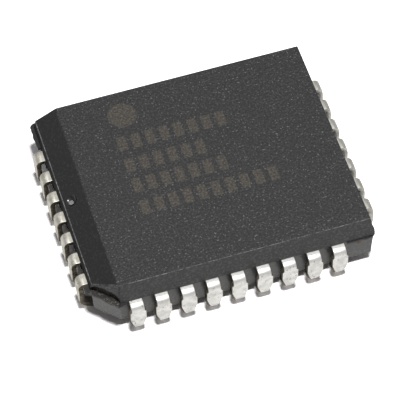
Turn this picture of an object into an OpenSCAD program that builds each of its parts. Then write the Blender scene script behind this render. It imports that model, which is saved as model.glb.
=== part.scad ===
// Plastic leaded chip carrier with J-leads, in millimetres.
// The origin is on the seating plane under the middle of the body.
// +X runs along the body, away from the pin-one end, and +Z points up.

/* [Moulded body] */
// Length of the body at the parting line
body_l = 14.0; // [13.2:0.01:15]
// Width of the body at the parting line
body_w = 11.43; // [10.8:0.01:12.4]
// Height of the top face above the seating plane
top_z = 3.5; // [3.2:0.01:4]
// Height of the parting line, which is the upper face of the lead frame
part_z = 2.24; // [2.1:0.01:2.5]
// Height of the underside above the seating plane
base_z = 0.65; // [0.5:0.01:0.9]
// How far the long sides lean in between the parting line and the top face
side_lean = 0.185; // [0.05:0.005:0.35]
// How far the short sides lean in between the parting line and the top face
end_lean = 0.22; // [0.05:0.005:0.4]
// How far the lower half is set back under the upper half
step_in = 0.06; // [0.02:0.005:0.12]
// How far the lower half leans in between the parting line and the underside
base_lean = 0.07; // [0.02:0.005:0.2]

/* [Pin one marks] */
// Distance of the bevel's upper edge from the end of the body
bevel_w = 1.18; // [0.8:0.01:1.6]
// Height of the bevel
bevel_drop = 0.74; // [0.4:0.01:0.85]
// Length of the corner cut along each side
corner_cut = 1.14; // [0.8:0.01:1.25]
// Diameter of the round dimple in the bevel
dimple_d = 0.6; // [0.3:0.01:0.8]
// Depth of the dimple
dimple_depth = 0.13; // [0.05:0.01:0.2]
// Distance of the dimple from the middle of the bevelled end
dimple_y = 0.22; // [-0.5:0.01:0.5]
// Distance of the dimple's centre from the bevel's lower edge, up the slope
dimple_up = 0.48; // [0.45:0.01:0.7]

/* [Mould marks] */
// Width of the broken gate at the corner cut
gate_w = 1.5; // [0.8:0.01:1.55]
// Height of the broken gate above the parting line
gate_h = 0.58; // [0.2:0.01:0.65]
// Depth of the broken gate in the corner cut
gate_depth = 0.2; // [0.05:0.01:0.3]
// How far the flash at the pin-one corners stands out from the body
flash_near = 0.17; // [0.04:0.01:0.25]
// How far the flash at the two other corners stands out from the body
flash_far = 0.06; // [0.02:0.01:0.2]
// Thickness of the flash
flash_t = 0.1; // [0.04:0.01:0.2]
// How far the flash stands up past the parting line
flash_rise = 0.02; // [0.01:0.005:0.03]
// Diameter of the ejector marks in the underside
ejector_d = 1.6; // [1:0.05:2.4]
// Depth of the ejector marks
ejector_depth = 0.06; // [0.02:0.01:0.15]
// Distance of each ejector mark from the middle
ejector_x = 3.4; // [2.2:0.05:4]

/* [Leads] */
// Distance between neighbouring leads
pitch = 1.27; // [1.2:0.005:1.32]
// Thickness of the lead frame
lead_t = 0.254; // [0.2:0.002:0.3]
// Distance of the leads' outer faces from the body's sides
lead_out = 0.47; // [0.44:0.01:0.7]
// Outer radius of the shoulder bend
shoulder_r = 0.34; // [0.31:0.01:0.4]
// Outer radius of the J-bend
foot_r = 0.9; // [0.8:0.01:0.95]
// Length of the straight tip past the J-bend
tip_l = 0.12; // [0.02:0.01:0.3]
// Width of the lead where it leaves the body
neck_w = 0.64; // [0.5:0.01:0.66]
// Width across the cut dam-bar stubs
stub_w = 0.79; // [0.68:0.01:0.86]
// Distance of the stubs' upper corners below the parting line
stub_drop = 0.44; // [0.43:0.01:0.5]
// Height of the stubs' straight ends
stub_h = 0.6; // [0.45:0.01:0.7]
// Height over which a lead narrows from the stubs to its foot
taper_h = 0.58; // [0.4:0.01:0.7]
// Width of the lead at its foot and its tip
foot_w = 0.45; // [0.34:0.01:0.52]
// Clearance around the lead tips in their pockets
pocket_gap = 0.11; // [0.05:0.01:0.16]

/* [Lead frame inside] */
// Length of the die paddle
pad_l = 6.6; // [6:0.05:7.2]
// Width of the die paddle
pad_w = 4.8; // [4.2:0.05:5.4]
// Gap between the paddle and the finger tips
finger_gap = 0.3; // [0.2:0.01:0.5]
// Distance between neighbouring finger tips
tip_pitch = 0.66; // [0.6:0.005:0.7]
// Width of the finger tips
tip_w = 0.34; // [0.25:0.01:0.4]
// Length of a finger's straight part behind the wall of the body
finger_root = 0.8; // [0.5:0.01:1]
// Width of the tie bars
tie_w = 0.2; // [0.15:0.01:0.26]
// Distance of the tie bars' cut ends from the middle of the body
tie_x = 6.15; // [6:0.01:6.3]
// How far the tie bars' cut ends stand out from the body
tie_out = 0.04; // [0:0.01:0.1]

/* [Die] */
// Length of the die
die_l = 4.4; // [3:0.05:5.4]
// Width of the die
die_w = 3.4; // [2.4:0.05:3.8]
// Thickness of the die
die_t = 0.36; // [0.2:0.01:0.42]
// Thickness of the die attach layer
attach_t = 0.03; // [0.02:0.005:0.05]
// How far the die attach layer shows around the die
attach_rim = 0.1; // [0.05:0.01:0.2]
// Thickness of the bond wires
wire_d = 0.04; // [0.025:0.005:0.06]
// Height of the wire loops
loop_h = 0.2; // [0.1:0.01:0.25]
// Distance of the bonds from the edge of the die and from the finger tips
bond_in = 0.14; // [0.1:0.01:0.25]

/* [Hidden] */
$fn = 64;
long_n = 9;
short_n = 7;
lead_n = 2 * (long_n + short_n);
// Margin by which cutting shapes run past the faces that they cut
cut = 1;
// Overlap of the two halves of the moulding
seam = 0.04;
// Steps along one bond wire loop
loop_steps = 8;
// Height over which a lead widens from its neck to the stubs
stub_slope = 0.08;
// Straight length of the finger tips, where the wires are bonded
tip_landing = 0.4;
// Straight run of the tie bars behind the body's side
tie_run = 1.1;
// Gap between the outermost leads and the corner flash
flash_gap = 0.08;
// Ragged outline of the broken gate, in shares of its width and height
gate_outline = [[-0.5, 0], [0.5, 0], [0.46, 0.55], [0.3, 0.9], [-0.02, 1], [-0.3, 0.95], [-0.48, 0.42]];

frame_z = part_z - lead_t;
bevel_z = top_z - bevel_drop;
upper_h = top_z - part_z;
stub_top = part_z - stub_drop;
stub_low = stub_top - stub_h;
taper_end = stub_low - taper_h;
pad_top = part_z;
attach_z = pad_top + attach_t;
die_z = attach_z + die_t;
tip_z = foot_r + tip_l;

// The bevel's edges at the pin-one end, and its slope
bevel_low_x = -body_l / 2 + end_lean * (bevel_z - part_z) / upper_h;
bevel_high_x = -body_l / 2 + bevel_w;
bevel_tilt = atan2(bevel_drop, bevel_high_x - bevel_low_x);

// Pin 1 is in the middle of the pin-one end, and the numbers run counter-clockwise from above.
// Counted from the first lead of the front side, each side has a run of places.
function place(pin) = (pin - 1 - (short_n + 1) / 2 + lead_n) % lead_n;
function side(pin) =
    place(pin) < long_n ? 0
    : place(pin) < long_n + short_n ? 1
    : place(pin) < 2 * long_n + short_n ? 2
    : 3;
function is_long(pin) = side(pin) % 2 == 0;
function side_start(pin) = [0, long_n, long_n + short_n, 2 * long_n + short_n][side(pin)];
function side_n(pin) = is_long(pin) ? long_n : short_n;
// Steps of the pitch from the middle of the side to the lead
function steps(pin) = place(pin) - side_start(pin) - (side_n(pin) - 1) / 2;
function wall(pin) = (is_long(pin) ? body_w : body_l) / 2;
function finger_tip(pin) = (is_long(pin) ? pad_w : pad_l) / 2 + finger_gap;
function die_edge(pin) = (is_long(pin) ? die_w : die_l) / 2;
// Bonds on the die are spread along its edge as the finger tips are, a little closer
function bond_pitch(pin) = ((is_long(pin) ? die_l : die_w) - 4 * bond_in) / (side_n(pin) - 1);
function lead_name(pin) = str("lead_", pin < 10 ? "0" : "", pin);

// Turns a shape that points outwards along -Y, with its side along X, to a lead's own side
module at_side(pin) {
    rotate(90 * side(pin)) children();
}

// Extrudes an outline drawn in X and Z along Y, or in Y and Z along X
module along_y(length) {
    rotate([90, 0, 0]) linear_extrude(length, center = true) children();
}
module along_x(length) {
    rotate([90, 0, 90]) linear_extrude(length, center = true) children();
}

// Plan of the body with its corner cut, grown outwards by a margin
module plan(margin) {
    l = body_l / 2 + margin;
    w = body_w / 2 + margin;
    cut_in = corner_cut + margin * (2 - sqrt(2));
    polygon([[l, -w], [l, w], [-l, w], [-l, -w + cut_in], [-l + cut_in, -w]]);
}

// Distance of the corner cut from the middle of the body, along the corner's diagonal
corner_d = ((body_l + body_w) / 2 - corner_cut) / sqrt(2);

// One half of the moulding: an end view, a side view and a view along the corner's diagonal,
// each extruded and then intersected, so that every side leans by its own amount
module half_body(low_z, high_z, low_in, high_in_ends, high_in_sides) {
    end_low = body_l / 2 - low_in;
    side_low = body_w / 2 - low_in;
    corner_low = corner_d - low_in;
    reach = body_l + body_w;
    intersection() {
        along_y(reach) polygon([
            [-end_low, low_z], [end_low, low_z],
            [body_l / 2 - high_in_ends, high_z], [high_in_ends - body_l / 2, high_z]
        ]);
        along_x(reach) polygon([
            [-side_low, low_z], [side_low, low_z],
            [body_w / 2 - high_in_sides, high_z], [high_in_sides - body_w / 2, high_z]
        ]);
        rotate(-135) along_y(reach) polygon([
            [-reach, low_z], [corner_low, low_z],
            [corner_d - high_in_sides, high_z], [-reach, high_z]
        ]);
    }
}

module upper_half() {
    half_body(part_z, top_z, 0, end_lean, side_lean);
}

// The lower half reaches a little way up into the upper half, because both are one casting
module lower_half() {
    seam_in = step_in - base_lean * seam / (part_z - base_z);
    half_body(base_z, part_z + seam, step_in + base_lean, seam_in, seam_in);
}

// Sloping cut along the pin-one end, with the round dimple sunk in it
module pin_one_bevel() {
    ball_r = (dimple_d * dimple_d / 4 + dimple_depth * dimple_depth) / (2 * dimple_depth);
    translate([bevel_low_x, 0, bevel_z]) rotate([0, -bevel_tilt, 0]) {
        translate([-cut, -body_w, 0]) cube([2 * cut + bevel_w + bevel_drop, 2 * body_w, 2 * cut]);
        translate([dimple_up, dimple_y, ball_r - dimple_depth]) sphere(ball_r);
    }
}

// Place at the corner cut where the gate of the mould broke off
module gate_scar() {
    middle = (body_w - body_l) / 2 / sqrt(2);
    rotate(-135) translate([corner_d - gate_depth + cut / 2, middle, part_z]) along_x(cut)
        polygon([for (p = gate_outline) [p[0] * gate_w, p[1] * gate_h]]);
}

// Thin flash that the mould left along the parting line at the four corners
module corner_flash() {
    from_x = (long_n - 1) / 2 * pitch + stub_w / 2 + flash_gap;
    from_y = (short_n - 1) / 2 * pitch + stub_w / 2 + flash_gap;
    low_z = part_z + flash_rise - flash_t;
    translate([0, 0, low_z]) linear_extrude(flash_t) for (x = [-1, 1]) intersection() {
        plan(x < 0 ? flash_near : flash_far);
        for (y = [-1, 1]) translate([x * (from_x + body_l / 2), y * (from_y + body_w / 2)])
            square([body_l, body_w], center = true);
    }
}

// Recess in the underside that takes the tip of one lead
module tip_pocket(pin) {
    deep = wall(pin) + lead_out - 2 * foot_r - pocket_gap;
    wide = foot_w + 2 * pocket_gap;
    at_side(pin) translate([steps(pin) * pitch - wide / 2, -wall(pin) - cut, base_z - cut])
        cube([wide, wall(pin) + cut - deep, cut + tip_z + pocket_gap - base_z]);
}

module ejector_marks() {
    for (x = [-1, 1]) translate([x * ejector_x, 0, base_z - cut])
        cylinder(d = ejector_d, h = cut + ejector_depth);
}

module body() {
    color("#3b393d") difference() {
        union() {
            upper_half();
            lower_half();
            corner_flash();
        }
        pin_one_bevel();
        gate_scar();
        ejector_marks();
        for (pin = [1:lead_n]) tip_pocket(pin);
        for (pin = [1:lead_n]) finger(pin);
        die_pad();
        die_attach();
        die();
        bond_wires();
    }
}

// Flat part of a lead: from the shoulder bend through the wall, then fanned in towards the paddle
module finger(pin) {
    x = steps(pin) * pitch;
    tip_x = steps(pin) * tip_pitch;
    start = wall(pin) + lead_out - shoulder_r;
    bend = wall(pin) - finger_root;
    tip = finger_tip(pin);
    landing = tip + tip_landing;
    at_side(pin) translate([0, 0, frame_z]) linear_extrude(lead_t) polygon([
        [x - neck_w / 2, -start], [x - neck_w / 2, -bend],
        [tip_x - tip_w / 2, -landing], [tip_x - tip_w / 2, -tip],
        [tip_x + tip_w / 2, -tip], [tip_x + tip_w / 2, -landing],
        [x + neck_w / 2, -bend], [x + neck_w / 2, -start]
    ]);
}

// Ring of the lead's thickness, to cut the two bends from
module bend_ring(r) {
    difference() {
        circle(r);
        circle(r - lead_t);
    }
}

// One quarter of the J-bend, seen from the side, on the given side of its lowest point
module foot_quarter(out, side) {
    translate([foot_r - out, foot_r]) intersection() {
        bend_ring(foot_r);
        translate([side < 0 ? -foot_r : 0, -foot_r]) square(foot_r);
    }
}

// Side view of a lead's shoulder, leg and first half of the J, with the outer face at the given distance
module leg_profile(out) {
    leg_top = part_z - shoulder_r;
    translate([shoulder_r - out, leg_top]) intersection() {
        bend_ring(shoulder_r);
        translate([-shoulder_r, 0]) square(shoulder_r);
    }
    translate([-out, foot_r]) square([lead_t, leg_top - foot_r]);
    foot_quarter(out, -1);
}

// Side view of the rest of the J and its straight tip
module tip_profile(out) {
    foot_quarter(out, 1);
    translate([2 * foot_r - out - lead_t, foot_r]) square([lead_t, tip_l]);
}

// Front view of a lead: neck, cut dam-bar stubs, and the taper down to the foot
module lead_face() {
    half = [
        [neck_w / 2, part_z + cut], [neck_w / 2, stub_top + stub_slope],
        [stub_w / 2, stub_top], [stub_w / 2, stub_low],
        [foot_w / 2, taper_end], [foot_w / 2, -cut]
    ];
    mirrored = [for (i = [len(half) - 1:-1:0]) [-half[i][0], half[i][1]]];
    polygon(concat(half, mirrored));
}

module lead(pin) {
    out = wall(pin) + lead_out;
    color("#d9d7d0") {
        at_side(pin) translate([steps(pin) * pitch, 0, 0]) {
            intersection() {
                along_x(2 * stub_w) leg_profile(out);
                along_y(4 * out) lead_face();
            }
            along_x(foot_w) tip_profile(out);
        }
        finger(pin);
    }
}

// Plan of one tie bar, from the paddle's corner out past the body's side
module tie_bar() {
    kink_y = body_w / 2 - tie_run;
    line = [
        [pad_l / 2 - tie_w, pad_w / 2 - tie_w], [tie_x, kink_y], [tie_x, body_w / 2 + cut]
    ];
    back = [for (i = [len(line) - 1:-1:0]) [line[i][0] + tie_w / 2, line[i][1]]];
    polygon(concat([for (p = line) [p[0] - tie_w / 2, p[1]]], back));
}

module die_pad() {
    color("#b87333") translate([0, 0, frame_z]) linear_extrude(lead_t) {
        square([pad_l, pad_w], center = true);
        intersection() {
            plan(tie_out);
            for (x = [0, 1], y = [0, 1]) mirror([x, 0]) mirror([0, y]) tie_bar();
        }
    }
}

// Flat block of the die or its attach layer, centred on the paddle
module layer(l, w, low_z, high_z) {
    translate([-l / 2, -w / 2, low_z]) cube([l, w, high_z - low_z]);
}

module die_attach() {
    color("#b9b6ae") layer(die_l + 2 * attach_rim, die_w + 2 * attach_rim, pad_top, attach_z);
}

module die() {
    color("#5a6270") layer(die_l, die_w, attach_z, die_z);
}

// One bond wire, looped from the top of the die down to the finger of its lead
module bond_wire(pin) {
    from = [steps(pin) * bond_pitch(pin), bond_in - die_edge(pin)];
    to = [steps(pin) * tip_pitch, -finger_tip(pin) - bond_in];
    span = norm(to - from);
    turns = [for (i = [0:loop_steps]) 180 * i / loop_steps];
    function loop_point(turn, grow) = [
        span / 2 - (span / 2 + grow) * cos(turn),
        die_z + (part_z - die_z) * (1 - cos(turn)) / 2 + (loop_h + grow) * sin(turn)
    ];
    outer = [for (turn = turns) loop_point(turn, wire_d / 2)];
    inner = [for (i = [loop_steps:-1:0]) loop_point(turns[i], -wire_d / 2)];
    at_side(pin) translate(from) rotate(atan2(to[1] - from[1], to[0] - from[0]))
        along_y(wire_d) polygon(concat(outer, inner));
}

module bond_wires() {
    color("#d4a83a") for (pin = [1:lead_n]) bond_wire(pin);
}

body();
die_pad();
die_attach();
die();
bond_wires();
for (pin = [1:lead_n])
    lead(pin);
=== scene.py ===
import math

import bmesh
import bpy
from mathutils import Matrix, Vector, noise


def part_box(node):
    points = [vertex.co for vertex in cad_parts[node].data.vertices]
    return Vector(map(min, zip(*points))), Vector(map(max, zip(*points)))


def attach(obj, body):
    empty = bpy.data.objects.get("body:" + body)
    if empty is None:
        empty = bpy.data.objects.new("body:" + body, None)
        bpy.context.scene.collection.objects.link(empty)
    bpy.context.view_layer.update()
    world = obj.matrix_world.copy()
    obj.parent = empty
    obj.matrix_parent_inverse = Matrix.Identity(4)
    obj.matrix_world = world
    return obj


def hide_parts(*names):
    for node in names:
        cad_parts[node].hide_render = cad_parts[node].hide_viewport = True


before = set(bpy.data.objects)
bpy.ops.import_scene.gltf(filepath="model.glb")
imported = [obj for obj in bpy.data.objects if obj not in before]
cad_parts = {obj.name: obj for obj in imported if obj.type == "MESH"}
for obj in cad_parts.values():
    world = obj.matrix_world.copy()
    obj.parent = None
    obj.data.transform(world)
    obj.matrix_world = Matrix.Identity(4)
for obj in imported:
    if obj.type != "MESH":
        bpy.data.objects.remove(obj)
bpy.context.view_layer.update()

# Camera
# The chip is seen from the front and a little to the left, from well above, through a long lens.
# The camera leans slightly, so the picture is turned by the same amount.
mm = 0.001
camera_azimuth = math.radians(-15.814)
camera_elevation = math.radians(54.96)
camera_roll = math.radians(-1.832)
camera_distance = 129.546 * mm
camera_target = Vector((-0.359, -0.855, 1.83)) * mm
lens_mm = 238.2

towards_camera = Vector((
    math.sin(camera_azimuth) * math.cos(camera_elevation),
    -math.cos(camera_azimuth) * math.cos(camera_elevation),
    math.sin(camera_elevation),
))
level_right = Vector((0, 0, 1)).cross(towards_camera).normalized()
picture_right = Matrix.Rotation(camera_roll, 3, towards_camera) @ level_right
picture_up = towards_camera.cross(picture_right)
camera = bpy.data.objects.new("camera", bpy.data.cameras.new("camera"))
bpy.context.scene.collection.objects.link(camera)
camera_turn = Matrix((picture_right, picture_up, towards_camera)).transposed()
camera_place = Matrix.Translation(camera_target + towards_camera * camera_distance)
camera.matrix_world = camera_place @ camera_turn.to_4x4()
camera.data.lens = lens_mm
camera.data.clip_start = camera_distance / 10
camera.data.clip_end = camera_distance * 100
bpy.context.scene.camera = camera
bpy.context.scene.view_settings.view_transform = "Standard"

# Stage
# A sheet of white paper in a room with pale walls, under a lamp that hangs above it and a little in front.
# The paper is exposed past white, so only the shadow close to the chip stays on it. A far window glints
# in the dimple.
floor_half = 600 * mm
paper_white = (0.8, 0.8, 0.8, 1)
paper_exposed = (1.75, 1.71, 1.74, 1)
paper_mirrored = (1.05, 1.04, 1.02, 1)
room_light = 0.11
room_white = 1.0
room_walls = 0.45
room_ceiling = 1.25
ceiling_span = (0.55, 0.8)
lamp_power = 0.61
lamp_size = 30 * mm
lamp_place = Vector((4, -52, 256)) * mm
window_power = 0.045
window_size = 19 * mm
window_place = Vector((-130, 166, 213)) * mm


class Shade:
    """A value in a shader. Sums written with it add their own Math nodes."""

    def __init__(self, finish, socket):
        self.finish = finish
        self.socket = socket

    def maths(self, operation, first, second):
        return self.finish.node("ShaderNodeMath", {"operation": operation}, {0: first, 1: second})

    def __add__(self, other):
        return self.maths("ADD", self, other)

    def __radd__(self, other):
        return self.maths("ADD", other, self)

    def __sub__(self, other):
        return self.maths("SUBTRACT", self, other)

    def __rsub__(self, other):
        return self.maths("SUBTRACT", other, self)

    def __mul__(self, other):
        return self.maths("MULTIPLY", self, other)

    def __rmul__(self, other):
        return self.maths("MULTIPLY", other, self)

    def __abs__(self):
        return self.maths("ABSOLUTE", self, 0.0)

    def ramp(self, low, high):
        """0 below low, 1 above high and smooth between, or the other way round if high is less."""
        settings = {"interpolation_type": "SMOOTHSTEP"}
        if low < high:
            return self.finish.node("ShaderNodeMapRange", settings, {0: self, 1: low, 2: high})
        return 1 - self.ramp(high, low)


class Finish:
    """The nodes of one surface."""

    def __init__(self, tree):
        self.tree = tree

    def node(self, kind, settings=None, sockets=None, output=0):
        """Adds any node, sets it up, fills or links its sockets and gives one of its outputs."""
        made = self.tree.nodes.new(kind)
        for name, value in (settings or {}).items():
            setattr(made, name, value)
        for name, value in (sockets or {}).items():
            if isinstance(value, Shade):
                self.tree.links.new(value.socket, made.inputs[name])
            else:
                made.inputs[name].default_value = value
        return Shade(self, made.outputs[output]) if made.outputs else None

    def blend(self, share, first, second):
        """A colour between two others."""
        return self.node("ShaderNodeMix", {"data_type": "RGBA"}, {0: share, 6: first, 7: second}, 2)


def surface(name):
    """A new material with an empty tree, and its finish."""
    material = bpy.data.materials.new(name)
    material.use_nodes = True
    material.node_tree.nodes.clear()
    return material, Finish(material.node_tree)


def ray_kinds(finish):
    """1 where the camera sees the surface itself, and 1 where it shows in gloss or through glass."""
    seen = finish.node("ShaderNodeLightPath", output="Is Camera Ray")
    glossy = finish.node("ShaderNodeLightPath", output="Is Glossy Ray")
    through = finish.node("ShaderNodeLightPath", output="Is Transmission Ray")
    return seen, glossy + through


paper, finish = surface("paper")
seen, mirrored = ray_kinds(finish)
colour = finish.blend(mirrored, paper_white, paper_mirrored)
colour = finish.blend(seen, colour, paper_exposed)
sheet = finish.node("ShaderNodeBsdfDiffuse", sockets={"Color": colour})
finish.node("ShaderNodeOutputMaterial", sockets={"Surface": sheet})

flat = bmesh.new()
bmesh.ops.create_grid(flat, x_segments=1, y_segments=1, size=floor_half)
floor_mesh = bpy.data.meshes.new("floor")
flat.to_mesh(floor_mesh)
flat.free()
floor_mesh.materials.append(paper)
floor = bpy.data.objects.new("floor", floor_mesh)
bpy.context.scene.collection.objects.link(floor)

world = bpy.data.worlds.new("room")
world.use_nodes = True
world.node_tree.nodes.clear()
bpy.context.scene.world = world
finish = Finish(world.node_tree)
seen, mirrored = ray_kinds(finish)
direction = finish.node("ShaderNodeTexCoord", output="Generated")
height = finish.node("ShaderNodeSeparateXYZ", sockets={0: direction}, output=2)
shown = room_walls + (room_ceiling - room_walls) * height.ramp(*ceiling_span)
strength = room_light + seen * (room_white - room_light) + mirrored * (shown - room_light)
room = finish.node("ShaderNodeBackground", sockets={"Strength": strength})
finish.node("ShaderNodeOutputWorld", sockets={"Surface": room})

for name, power, size, place in (
    ("lamp", lamp_power, lamp_size, lamp_place),
    ("window", window_power, window_size, window_place),
):
    lamp = bpy.data.objects.new(name, bpy.data.lights.new(name, "AREA"))
    lamp.data.shape = "SQUARE"
    lamp.data.size = size
    lamp.data.energy = power
    aim = place.to_track_quat("Z", "Y").to_matrix().to_4x4()
    lamp.matrix_world = Matrix.Translation(place) @ aim
    bpy.context.scene.collection.objects.link(lamp)

# Moulded body
# A block of black epoxy, cast in a two-part mould round the lead frame. The mould's upper half was
# spark eroded, which left a fine grain, and its lower half, the bevel and the dimple were smooth.
# The runner was broken off at the cut corner, and thin flash was left along the parting line.
body_l = 14.0 * mm
body_w = 11.43 * mm
base_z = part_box("body")[0].z
top_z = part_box("body")[1].z
part_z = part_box("lead_01")[1].z
side_lean = 0.185 * mm
end_lean = 0.22 * mm
step_in = 0.06 * mm
base_lean = 0.07 * mm
corner_cut = 1.14 * mm
edge_r = 0.05 * mm
ridge_angle = math.radians(20)
bevel_w = 1.18 * mm
bevel_drop = 0.74 * mm
# Pale upper edges in patches: partly wear, partly a painted edge highlight, fainter near the cut corner.
highlight_and_wear = (0.3, 0.3, 0.31, 1)
edge_lit_from = (0.25, 0.45)
edge_lit_to = (0.845, 0.8)
edge_lit_patch = 0.3 * mm
edge_lit_dim_at = Vector((corner_cut - body_l, corner_cut - body_w, 2 * top_z)) / 2
edge_lit_dim_reach = (0.9 * mm, 1.5 * mm)
speck = (0.15, 0.15, 0.15, 1)
speck_size = 0.08 * mm
mark_left = -3.55 * mm
mark_rows = ((2.4 * mm, 8), (1.05 * mm, 6), (-0.2 * mm, 7), (-1.55 * mm, 10))
mark_dark = (0.04, 0.035, 0.029, 1)
mark_light = (0.1, 0.09, 0.076, 1)
mark_soft = 0.05 * mm
block_h = 0.9 * mm
block_w = 0.5 * mm
block_pitch = 0.72 * mm
disc_r = 0.75 * mm
disc_at = Vector((-2.82 * mm, 4.08 * mm, top_z))


def outline(z, ends_in, sides_in):
    """The body's five corners at one height, drawn in from the parting line."""
    x = body_l / 2 - ends_in
    y = body_w / 2 - sides_in
    cut = (body_l + body_w) / 2 - corner_cut - math.sqrt(2) * sides_in
    return [Vector(p) for p in ((x, -y, z), (x, y, z), (-x, y, z), (-x, x - cut, z), (y - cut, -y, z))]


def of_kind(made, kind):
    """The vertices, edges or faces that an operator made."""
    return [part for part in made["geom"] if isinstance(part, kind)]


def piece(name, shape):
    """A new object with the shape as its mesh."""
    mesh = bpy.data.meshes.new(name)
    shape.to_mesh(mesh)
    shape.free()
    made = bpy.data.objects.new(name, mesh)
    bpy.context.scene.collection.objects.link(made)
    return made


def carve(worked, tool, operation):
    """Adds a tool shape to a piece, or cuts it out of the piece, and takes the tool away."""
    step = worked.modifiers.new("carve", "BOOLEAN")
    step.operation = operation
    step.solver = "MANIFOLD"
    step.material_mode = "TRANSFER"
    step.object = tool
    bpy.context.view_layer.update()
    result = worked.evaluated_get(bpy.context.evaluated_depsgraph_get())
    mesh = bpy.data.meshes.new_from_object(result)
    worked.modifiers.clear()
    spare = worked.data
    worked.data = mesh
    bpy.data.meshes.remove(spare)
    bpy.data.objects.remove(tool)


def grain(finish, size, detail, seed):
    """Noise with grains of about the given size, from 0 to 1."""
    where = finish.node("ShaderNodeTexCoord", output="Object")
    moved = finish.node("ShaderNodeMapping", sockets={"Vector": where, "Location": (seed, seed, seed)})
    return finish.node("ShaderNodeTexNoise", sockets={
        "Vector": moved, "Scale": 1 / size, "Detail": detail,
    })


def distance(finish, point):
    """How far the surface is from a point."""
    where = finish.node("ShaderNodeTexCoord", output="Object")
    return finish.node("ShaderNodeVectorMath", {"operation": "DISTANCE"}, {0: where, 1: point}, "Value")


def facing_up(finish):
    """How far the surface faces up: 1 on a level face, 0 on a wall."""
    normal = finish.node("ShaderNodeNewGeometry", output="Normal")
    return finish.node("ShaderNodeSeparateXYZ", sockets={0: normal}, output=2)


def edge_lit_and_marked(finish, colour, fine):
    """Pales the upper edges in patches, partly wear and partly a painted edge highlight, and burns rows of
    plain blocks and one plain disc into the top.
    """
    up = facing_up(finish)
    edge = up.ramp(*edge_lit_from) * up.ramp(*edge_lit_to)
    # The painted edge highlight fades near the cut corner.
    edge = edge * (0.35 + 0.65 * distance(finish, edge_lit_dim_at).ramp(*edge_lit_dim_reach))
    patches = 0.25 + 0.75 * grain(finish, edge_lit_patch, 3, 9 * mm).ramp(0.3, 0.65)
    colour = finish.blend(edge * patches * (0.3 + 0.7 * fine.ramp(0.35, 0.6)), colour, highlight_and_wear)
    colour = finish.blend(grain(finish, speck_size, 0, 3 * mm).ramp(0.7, 0.8), colour, speck)
    where = finish.node("ShaderNodeTexCoord", output="Object")
    x = finish.node("ShaderNodeSeparateXYZ", sockets={0: where}, output=0) - mark_left
    y = finish.node("ShaderNodeSeparateXYZ", sockets={0: where}, output=1)
    marks = 0
    for middle, count in mark_rows:
        row_half = count * block_pitch / 2
        row = abs(y - middle).ramp(block_h / 2, block_h / 2 - mark_soft)
        marks = marks + row * abs(x - row_half).ramp(row_half, 0.998 * row_half)
    beside = abs(x.maths("FRACT", x * (1 / block_pitch), 0.0) * block_pitch - block_w / 2)
    marks = marks * beside.ramp(block_w / 2, block_w / 2 - mark_soft)
    marks = marks + distance(finish, disc_at).ramp(disc_r, disc_r - mark_soft)
    burnt = finish.blend(fine.ramp(0.4, 0.7), mark_dark, mark_light)
    return finish.blend(marks * (0.5 + 0.5 * fine.ramp(0.3, 0.5)), colour, burnt)


def epoxy(name, dark, light, span, rough, spread, size, bump, sheen=0.5, dressed=None):
    """Black epoxy with pale grains of filler in it. Another function may dress its colour further."""
    material, finish = surface(name)
    fine = grain(finish, size, 2, 0)
    broad = grain(finish, 9 * size, 3, 5 * mm)
    colour = finish.blend(fine.ramp(*span) * (0.5 + broad), dark, light)
    if dressed:
        colour = dressed(finish, colour, fine)
    height = finish.node("ShaderNodeBump", sockets={
        "Height": fine, "Strength": bump, "Distance": size / 2,
    })
    shader = finish.node("ShaderNodeBsdfPrincipled", sockets={
        "Base Color": colour, "Roughness": rough - spread / 2 + spread * fine, "IOR": 1.45,
        "Specular IOR Level": sheen, "Normal": height,
    })
    finish.node("ShaderNodeOutputMaterial", sockets={"Surface": shader})
    return material


grey = Vector((1, 1, 1.02, 1))
eroded = epoxy(
    "eroded_epoxy", dark=grey * 0.0075, light=grey * 0.06, span=(0.36, 0.84),
    rough=0.6, spread=0.2, size=0.1 * mm, bump=0.5, dressed=edge_lit_and_marked,
)
walls = epoxy(
    "wall_epoxy", dark=grey * 0.026, light=grey * 0.085, span=(0.4, 0.8),
    rough=0.5, spread=0.15, size=0.12 * mm, bump=0.25,
)
smooth = epoxy(
    "smooth_epoxy", dark=grey * 0.011, light=grey * 0.036, span=(0.5, 0.75),
    rough=0.38, spread=0.1, size=0.09 * mm, bump=0.08,
)
lower = epoxy(
    "lower_epoxy", dark=grey * 0.038, light=grey * 0.1, span=(0.4, 0.8),
    rough=0.34, spread=0.1, size=0.12 * mm, bump=0.1, sheen=0.75,
)
# A darker, less glossy copy of the lower epoxy for the faces turned towards the pin-one end: its darkness
# is painted shade.
shaded_end = epoxy(
    "shaded_end_epoxy", dark=grey * 0.014, light=grey * 0.04, span=(0.4, 0.8),
    rough=0.75, spread=0.1, size=0.1 * mm, bump=0.3, sheen=0.1,
)
polished = epoxy(
    "polished_epoxy", dark=grey * 0.01, light=grey * 0.016, span=(0.4, 0.7),
    rough=0.22, spread=0.02, size=0.2 * mm, bump=0.0,
)
broken = epoxy(
    "broken_epoxy", dark=(0.012, 0.011, 0.01, 1), light=(0.16, 0.14, 0.12, 1), span=(0.5, 0.7),
    rough=0.6, spread=0.3, size=0.06 * mm, bump=0.9,
)
ERODED, SMOOTH, WALLS, LOWER, SHADED_END = range(5)

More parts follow.
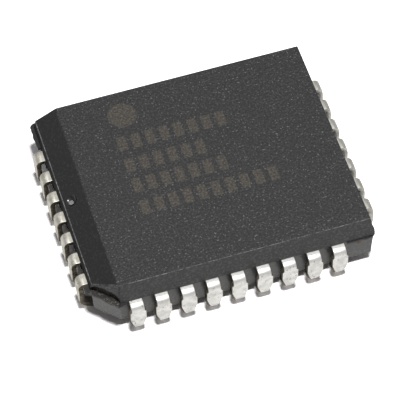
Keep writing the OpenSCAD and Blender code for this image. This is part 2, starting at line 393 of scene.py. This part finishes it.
# Both halves are one stack of outlines, with the step between them at the parting line
block = bmesh.new()
base_in = step_in + base_lean
underside = block.faces.new([block.verts.new(p) for p in outline(base_z, base_in, base_in)])
cap = underside
for station in ((part_z, step_in, step_in), (part_z, 0, 0), (top_z, end_lean, side_lean)):
    grown = bmesh.ops.extrude_face_region(block, geom=[cap])
    if cap is not underside:
        bmesh.ops.delete(block, geom=[cap], context="FACES_ONLY")
    cap = of_kind(grown, bmesh.types.BMFace)[0]
    corners = outline(*station)
    for vert in cap.verts:
        vert.co = min(corners, key=lambda corner: (corner.xy - vert.co.xy).length)
bmesh.ops.recalc_face_normals(block, faces=block.faces)
for face in block.faces:
    # Faces turned towards the pin-one end take the darker end epoxy, which paints shade on them.
    if face.normal.x < -0.9:
        face.material_index = SHADED_END
    elif face.calc_center_median().z <= part_z:
        face.material_index = LOWER
    else:
        face.material_index = WALLS if face.normal.z < 0.5 else ERODED

# The bevel along the pin-one end
bevel_lean = end_lean * (1 - bevel_drop / (top_z - part_z))
bevel_low = Vector((bevel_lean - body_l / 2, 0, top_z - bevel_drop))
bevel_high = Vector((-body_l / 2 + bevel_w, 0, top_z))
up_slope = (bevel_high - bevel_low).normalized()
bevel_out = Vector((-up_slope.z, 0, up_slope.x))
every = block.verts[:] + block.edges[:] + block.faces[:]
bmesh.ops.bisect_plane(block, geom=every, plane_co=bevel_low, plane_no=bevel_out, clear_outer=True)
slope = bmesh.ops.holes_fill(block, edges=[edge for edge in block.edges if edge.is_boundary])
slope["faces"][0].material_index = SMOOTH
bmesh.ops.recalc_face_normals(block, faces=block.faces)
ridges = [e for e in block.edges if e.is_convex and e.calc_face_angle() > ridge_angle]
softened = bmesh.ops.bevel(
    block, geom=ridges, offset=edge_r, offset_type="OFFSET", segments=3, profile=0.5,
    affect="EDGES", material=-1, clamp_overlap=True,
)
for face in softened["faces"]:
    face.material_index = LOWER if face.calc_center_median().z < part_z else ERODED
bmesh.ops.remove_doubles(block, verts=block.verts, dist=edge_r / 50)
body = piece("moulded_body", block)
for material in (eroded, smooth, walls, lower, shaded_end):
    body.data.materials.append(material)

# Flash: a thin ragged lip round each corner, wider at the pin-one end
flash_t = 0.1 * mm
flash_rise = 0.02 * mm
flash_far = 0.06 * mm
flash_near = 0.17 * mm
long_n = 9
short_n = 7
pitch = 1.27 * mm
last_lead = 0.475 * mm
flash_from = Vector((long_n - 1, short_n - 1)) / 2 * pitch + Vector((last_lead, last_lead))
flash_root = 0.35 * mm
rag = 0.05 * mm
rag_size = 0.3 * mm
flash_step = 0.04 * mm
blunt = 0.2 * mm


def lip_lines(inwards):
    """A line round each of the body's corners at the flash's height, as long as its lip."""
    corners = outline(part_z + flash_rise, inwards, inwards)
    for turns in (corners[:1], corners[1:2], corners[2:3], corners[3:]):
        first, last = turns[0], turns[-1]
        right = math.copysign(1, first.x)
        back = math.copysign(1, last.y)
        if len(turns) == 1:
            turns = first - Vector((0, back * blunt, 0)), first - Vector((right * blunt, 0, 0))
        on_end = Vector((first.x, back * flash_from.y, first.z))
        on_side = Vector((right * flash_from.x, last.y, first.z))
        yield [on_end, *turns, on_side]


outer_lines = [*lip_lines(-flash_far)][:2] + [*lip_lines(-flash_near)][2:]
for outer, inner in zip(outer_lines, lip_lines(flash_root)):
    lip = bmesh.new()
    pairs = []
    for (a, b), (c, d) in zip(zip(outer, outer[1:]), zip(inner, inner[1:])):
        steps = math.ceil((b - a).length / flash_step)
        pairs += [(a.lerp(b, i / steps), c.lerp(d, i / steps)) for i in range(steps)]
    pairs.append((outer[-1], inner[-1]))
    for i, (out, root) in enumerate(pairs):
        shift = rag * noise.noise(out / rag_size) * ((out - root).length - flash_root) / flash_near
        pairs[i] = lip.verts.new(out + (out - root).normalized() * shift), lip.verts.new(root)
    for (a, b), (c, d) in zip(pairs, pairs[1:]):
        lip.faces.new((a, b, d, c))
    grown = bmesh.ops.extrude_face_region(lip, geom=lip.faces[:])
    bmesh.ops.translate(lip, verts=of_kind(grown, bmesh.types.BMVert), vec=(0, 0, -flash_t))
    bmesh.ops.recalc_face_normals(lip, faces=lip.faces)
    lips = piece("flash", lip)
    lips.data.materials.append(smooth)
    carve(body, lips, "UNION")

# Gate scar: the runner broke away here and took a ragged hollow out of the corner cut
corner_middle = Vector(((corner_cut - body_l) / 2, (corner_cut - body_w) / 2, part_z))
corner_along = Vector((1, -1, 0)).normalized()
corner_out = Vector((-1, -1, 0)).normalized()
scar_half = 0.84 * mm
scar_h = 0.58 * mm
scar_depth = 0.2 * mm
scar_lip = 0.05 * mm
scar_reach = 0.4 * mm
scar_skin = 0.01 * mm
scar_over = 1.15
scar_columns = 56
scar_rows = 26
chip = 0.05 * mm
chips_along = 5
chips_up = 4
scar = bmesh.new()
bmesh.ops.create_grid(scar, x_segments=scar_columns, y_segments=scar_rows, size=0.5)
for vert in scar.verts:
    along = 2 * vert.co.x
    up = vert.co.y + 0.5
    arch = (1 - abs(along) ** 3) ** 0.5
    rough = noise.fractal(Vector((along * chips_along, up * chips_up, 2)), 0.7, 2.1, 4)
    over = (arch - scar_over * up) * scar_h + 0.5 * chip * rough
    inwards = scar_depth * max(min(over / scar_lip, 1), -1) + chip * rough
    inwards += side_lean * up * scar_h / (top_z - part_z)
    vert.co = (
        corner_middle + corner_along * along * scar_half + corner_out * -inwards
        + Vector((0, 0, scar_skin + scar_over * up * scar_h))
    )
grown = bmesh.ops.extrude_face_region(scar, geom=scar.faces[:])
for vert in of_kind(grown, bmesh.types.BMVert):
    vert.co += corner_out * (scar_reach - (vert.co - corner_middle).dot(corner_out))
bmesh.ops.recalc_face_normals(scar, faces=scar.faces)
hollow = piece("gate_scar", scar)
hollow.data.materials.append(broken)
carve(body, hollow, "DIFFERENCE")

# Dimple: a shallow cap of a ball, sunk square into the bevel, with a small ground flat
dimple_d = 0.6 * mm
dimple_depth = 0.13 * mm
dimple_y = 0.22 * mm
dimple_up = 0.48 * mm
flat_lean = math.radians(15.1)
flat_depth = 0.02 * mm
flat_limit = 0.9995
ball_r = (dimple_d ** 2 / 4 + dimple_depth ** 2) / (2 * dimple_depth)
dimple_at = bevel_low + up_slope * dimple_up + Vector((0, dimple_y, 0))
ball_middle = dimple_at + bevel_out * (ball_r - dimple_depth)
flat_out = Matrix.Rotation(flat_lean, 3, "Y") @ bevel_out
ball = bmesh.new()
bmesh.ops.create_uvsphere(ball, u_segments=96, v_segments=64, radius=ball_r)
bmesh.ops.translate(ball, verts=ball.verts, vec=ball_middle)
every = ball.verts[:] + ball.edges[:] + ball.faces[:]
flat_at = ball_middle - flat_out * (ball_r - flat_depth)
bmesh.ops.bisect_plane(ball, geom=every, plane_co=flat_at, plane_no=flat_out, clear_inner=True)
bmesh.ops.holes_fill(ball, edges=[edge for edge in ball.edges if edge.is_boundary])
bmesh.ops.recalc_face_normals(ball, faces=ball.faces)
for face in ball.faces:
    face.smooth = True
dimple = piece("dimple", ball)
dimple.data.materials.append(polished)
carve(body, dimple, "DIFFERENCE")

# Underside: two round marks of the ejector pins, and a pocket behind the tip of each lead
ejector_d = 1.6 * mm
ejector_depth = 0.06 * mm
ejector_x = 3.4 * mm
marks = bmesh.new()
for x in (-ejector_x, ejector_x):
    place = Matrix.Translation((x, 0, base_z))
    bmesh.ops.create_cone(
        marks, segments=64, radius1=ejector_d / 2, radius2=ejector_d / 2, depth=2 * ejector_depth,
        cap_ends=True, matrix=place,
    )
pins = piece("ejector_marks", marks)
pins.data.materials.append(lower)
carve(body, pins, "DIFFERENCE")

lead_out = 0.47 * mm
foot_r = 0.9 * mm
tip_l = 0.12 * mm
foot_w = 0.45 * mm
pocket_gap = 0.11 * mm
pockets = bmesh.new()
for side in range(4):
    count = short_n if side % 2 else long_n
    wall = (body_l if side % 2 else body_w) / 2
    inner = wall + lead_out - 2 * foot_r - pocket_gap
    roof = foot_r + tip_l + pocket_gap
    for i in range(count):
        place = Matrix.Translation(((i - (count - 1) / 2) * pitch, -wall, 0))
        size = Matrix.Diagonal((foot_w + 2 * pocket_gap, 2 * (wall - inner), 2 * roof, 1))
        turned = Matrix.Rotation(math.pi / 2 * side, 4, "Z")
        bmesh.ops.create_cube(pockets, size=1, matrix=turned @ place @ size)
pocket_boxes = piece("tip_pockets", pockets)
pocket_boxes.data.materials.append(lower)
carve(body, pocket_boxes, "DIFFERENCE")

sharp_angle = math.radians(35)
body.data.set_sharp_from_angle(angle=sharp_angle)
for face in body.data.polygons:
    face.use_smooth = face.normal.dot(flat_out) < flat_limit
body.modifiers.new("flat faces", "WEIGHTED_NORMAL").keep_sharp = True
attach(body, "root")
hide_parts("body")

# Leads
# Stamped from thin copper strip as flat fingers, moulded in, plated with tin, cut free of the dam bar,
# then bent down at the shoulder and rolled under the body into a J.
lead_t = 0.254 * mm
shoulder_r = 0.34 * mm
neck_w = 0.64 * mm
stub_w = 0.79 * mm
stub_drop = 0.44 * mm
stub_h = 0.6 * mm
stub_slope = 0.08 * mm
taper_h = 0.58 * mm
finger_root = 0.8 * mm
tip_pitch = 0.66 * mm
tip_w = 0.34 * mm
tip_landing = 0.4 * mm
lead_edge_r = 0.03 * mm
lead_sharp = math.radians(40)
corner_angle = math.radians(60)
shoulder_cuts = 8
foot_cuts = 20
finger_ends = (2.7 * mm, 3.6 * mm)
PLATED, STAMPED = range(2)

# Heights of the stubs, and distances along the flat blank from the start of the shoulder bend
stub_top = part_z - stub_drop
stub_low = stub_top - stub_h
taper_end = stub_low - taper_h
leg_start = math.pi / 2 * shoulder_r
leg_top_z = part_z - shoulder_r
foot_start = leg_start + leg_top_z - foot_r
taper_stop = foot_start + foot_r * math.asin((foot_r - taper_end) / foot_r)
tip_start = foot_start + math.pi * foot_r
blank_end = tip_start + tip_l


def bent(along, depth):
    """Where a point of the blank comes to lie, outwards of the bend's start and above the floor."""
    if along < 0:
        return along, part_z - depth
    if along < leg_start:
        angle = along / shoulder_r
        radius = shoulder_r - depth
        return radius * math.sin(angle), leg_top_z + radius * math.cos(angle)
    if along < foot_start:
        return shoulder_r - depth, leg_top_z - (along - leg_start)
    radius = foot_r - depth
    middle = shoulder_r - foot_r
    angle = min(along - foot_start, math.pi * foot_r) / foot_r
    past = max(along - tip_start, 0)
    return middle + radius * math.cos(angle), foot_r - radius * math.sin(angle) + past


def lead(pin, side, step, wall, finger_tip):
    """One lead: its blank is drawn flat, given its thickness and soft edges, and then bent."""
    start = wall + lead_out - shoulder_r
    centre = step * pitch
    tip_x = step * tip_pitch
    landing = finger_tip + tip_landing - start
    half = (
        (tip_x, tip_w / 2, finger_tip - start), (tip_x, tip_w / 2, landing),
        (centre, neck_w / 2, wall - finger_root - start),
        (centre, neck_w / 2, leg_start + leg_top_z - stub_top - stub_slope),
        (centre, stub_w / 2, leg_start + leg_top_z - stub_top),
        (centre, stub_w / 2, leg_start + leg_top_z - stub_low),
        (centre, foot_w / 2, taper_stop), (centre, foot_w / 2, blank_end),
    )
    blank = bmesh.new()
    border = [blank.verts.new((x - w, y, 0)) for x, w, y in half]
    border += [blank.verts.new((x + w, y, 0)) for x, w, y in reversed(half)]
    grown = bmesh.ops.extrude_face_region(blank, geom=[blank.faces.new(border)])
    bmesh.ops.translate(blank, verts=of_kind(grown, bmesh.types.BMVert), vec=(0, 0, lead_t))
    bmesh.ops.recalc_face_normals(blank, faces=blank.faces)
    for face in blank.faces:
        face.material_index = PLATED if abs(face.normal.z) > 0.5 else STAMPED
    corners = [e for e in blank.edges if e.calc_face_angle() > corner_angle]
    bmesh.ops.bevel(
        blank, geom=corners, offset=lead_edge_r, offset_type="OFFSET", segments=2, profile=0.5,
        affect="EDGES", material=-1, clamp_overlap=True,
    )
    bends = [leg_start * i / shoulder_cuts for i in range(shoulder_cuts + 1)]
    bends += [foot_start + math.pi * foot_r * i / foot_cuts for i in range(foot_cuts + 1)]
    for along in bends:
        every = blank.verts[:] + blank.edges[:] + blank.faces[:]
        bmesh.ops.bisect_plane(blank, geom=every, plane_co=(0, along, 0), plane_no=(0, 1, 0))
    for vert in blank.verts:
        outwards, z = bent(vert.co.y, lead_t - vert.co.z)
        vert.co = Vector((vert.co.x, -start - outwards, z))
    turned = Matrix.Rotation(math.pi / 2 * side, 3, "Z")
    bmesh.ops.rotate(blank, verts=blank.verts, cent=(0, 0, 0), matrix=turned)
    bmesh.ops.recalc_face_normals(blank, faces=blank.faces)
    for face in blank.faces:
        face.smooth = True
    made = piece(f"plated_lead_{pin:02d}", blank)
    made.data.set_sharp_from_angle(angle=lead_sharp)
    made.modifiers.new("flat faces", "WEIGHTED_NORMAL").keep_sharp = True
    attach(made, "root")
    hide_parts(f"lead_{pin:02d}")
    return made


# Stamped edges: dull and brownish, where the plating is thin and the copper has tarnished. The pin-one
# end's leads get a darker copy of them, which is painted shade.
def stamped_edge(name, dark, light):
    """The cut edge of the strip, in two tones."""
    material, finish = surface(name)
    fine = grain(finish, 0.09 * mm, 3, 2 * mm)
    cut = finish.node("ShaderNodeBsdfPrincipled", sockets={
        "Base Color": finish.blend(fine.ramp(0.35, 0.65), dark, light), "Metallic": 0.8,
        "Roughness": 0.45 + 0.2 * fine,
    })
    finish.node("ShaderNodeOutputMaterial", sockets={"Surface": cut})
    return material


cut_edge = stamped_edge("stamped_edge", (0.1, 0.085, 0.06, 1), (0.36, 0.33, 0.26, 1))
# The pin-one end's cut edges are darker: painted shade.
shaded_left_edge = stamped_edge("left_edge_shade", (0.05, 0.042, 0.03, 1), (0.17, 0.15, 0.115, 1))

# Matt tin: fine crystals, darker rubbed patches, and a few scratches and specks of dirt
scratched = (0.4, 0.37, 0.34, 1)
dirt = (0.22, 0.19, 0.16, 1)


def tin_plate(name, bright, worn):
    """The plating, in two tones."""
    material, finish = surface(name)
    fine = grain(finish, 0.05 * mm, 2, 0)
    patch = grain(finish, 0.3 * mm, 3, 4 * mm).ramp(0.35, 0.7)
    dirty = grain(finish, 0.11 * mm, 1, 7 * mm).ramp(0.69, 0.74)
    where = finish.node("ShaderNodeTexCoord", output="Object")
    drawn = finish.node("ShaderNodeMapping", sockets={
        "Vector": where, "Scale": (1, 1, 0.12), "Rotation": (0.2, 0.3, 0),
    })
    scratch = finish.node("ShaderNodeTexNoise", sockets={
        "Vector": drawn, "Scale": 1 / (0.035 * mm), "Detail": 1,
    })
    colour = finish.blend(patch * 0.6 + fine * 0.4, bright, worn)
    colour = finish.blend(scratch.ramp(0.66, 0.72) * 0.5, colour, scratched)
    colour = finish.blend(dirty * 0.8, colour, dirt)
    height = finish.node("ShaderNodeBump", sockets={
        "Height": fine, "Strength": 0.25, "Distance": 0.01 * mm,
    })
    plate = finish.node("ShaderNodeBsdfPrincipled", sockets={
        "Base Color": colour, "Metallic": 1.0, "Roughness": 0.46 + 0.12 * patch, "Normal": height,
    })
    finish.node("ShaderNodeOutputMaterial", sockets={"Surface": plate})
    return material


clean = tin_plate("tin_plate", (0.82, 0.82, 0.81, 1), (0.6, 0.59, 0.56, 1))
# The right leads' copy of the tin is darker than the front's, as painted shade; on their stamped edges it
# stands in for the brown edge and paints them lighter.
shaded_right_tin = tin_plate("right_tin_shade", (0.62, 0.615, 0.585, 1), (0.43, 0.42, 0.37, 1))
# The left leads' copy of the tin is darker and warmer: painted shade.
shaded_left_tin = tin_plate("left_tin_shade", (0.66, 0.65, 0.6, 1), (0.36, 0.335, 0.275, 1))

# The front side has the leads from pin 5 on, and the numbers go round counter-clockwise from above
pin = (short_n + 1) // 2
for side in range(4):
    count = short_n if side % 2 else long_n
    wall = (body_l if side % 2 else body_w) / 2
    for i in range(count):
        pin = pin % (2 * (long_n + short_n)) + 1
        made = lead(pin, side, i - (count - 1) / 2, wall, finger_ends[side % 2])
        # The right and left leads take darker copies of the tin and edge, which paint shade on them; the
        # right leads' cut edges take that tin, painted lighter.
        made.data.materials.append((clean, shaded_right_tin, clean, shaded_left_tin)[side])
        made.data.materials.append((cut_edge, shaded_right_tin, cut_edge, shaded_left_edge)[side])

# Inside
# The paddle of the lead frame carries the silicon chip on a thin layer of silver epoxy, and a gold wire
# runs from the chip to each finger. Only the cut ends of the paddle's tie bars show from outside.
def carried(node, name, dark, light, size, metallic, rough):
    """Dresses a solid that is shown as it is, in two tones of one stuff."""
    material, finish = surface(name)
    fine = grain(finish, size, 3, 0)
    height = finish.node("ShaderNodeBump", sockets={
        "Height": fine, "Strength": 0.2, "Distance": size / 5,
    })
    shader = finish.node("ShaderNodeBsdfPrincipled", sockets={
        "Base Color": finish.blend(fine.ramp(0.3, 0.7), dark, light), "Metallic": metallic,
        "Roughness": rough - 0.1 + 0.2 * fine, "Normal": height,
    })
    finish.node("ShaderNodeOutputMaterial", sockets={"Surface": shader})
    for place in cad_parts[node].material_slots:
        place.material = material


carried(
    "die_pad", "frame_copper", dark=(0.07, 0.05, 0.032, 1), light=(0.2, 0.13, 0.075, 1),
    size=0.08 * mm, metallic=1.0, rough=0.55,
)
carried(
    "die_attach", "silver_epoxy", dark=(0.5, 0.5, 0.49, 1), light=(0.62, 0.61, 0.6, 1),
    size=0.05 * mm, metallic=0.6, rough=0.6,
)
carried(
    "die", "silicon", dark=(0.1, 0.105, 0.12, 1), light=(0.16, 0.16, 0.19, 1),
    size=0.3 * mm, metallic=0.7, rough=0.25,
)
carried(
    "bond_wires", "gold_wire", dark=(0.9, 0.63, 0.27, 1), light=(0.95, 0.7, 0.34, 1),
    size=0.05 * mm, metallic=1.0, rough=0.3,
)
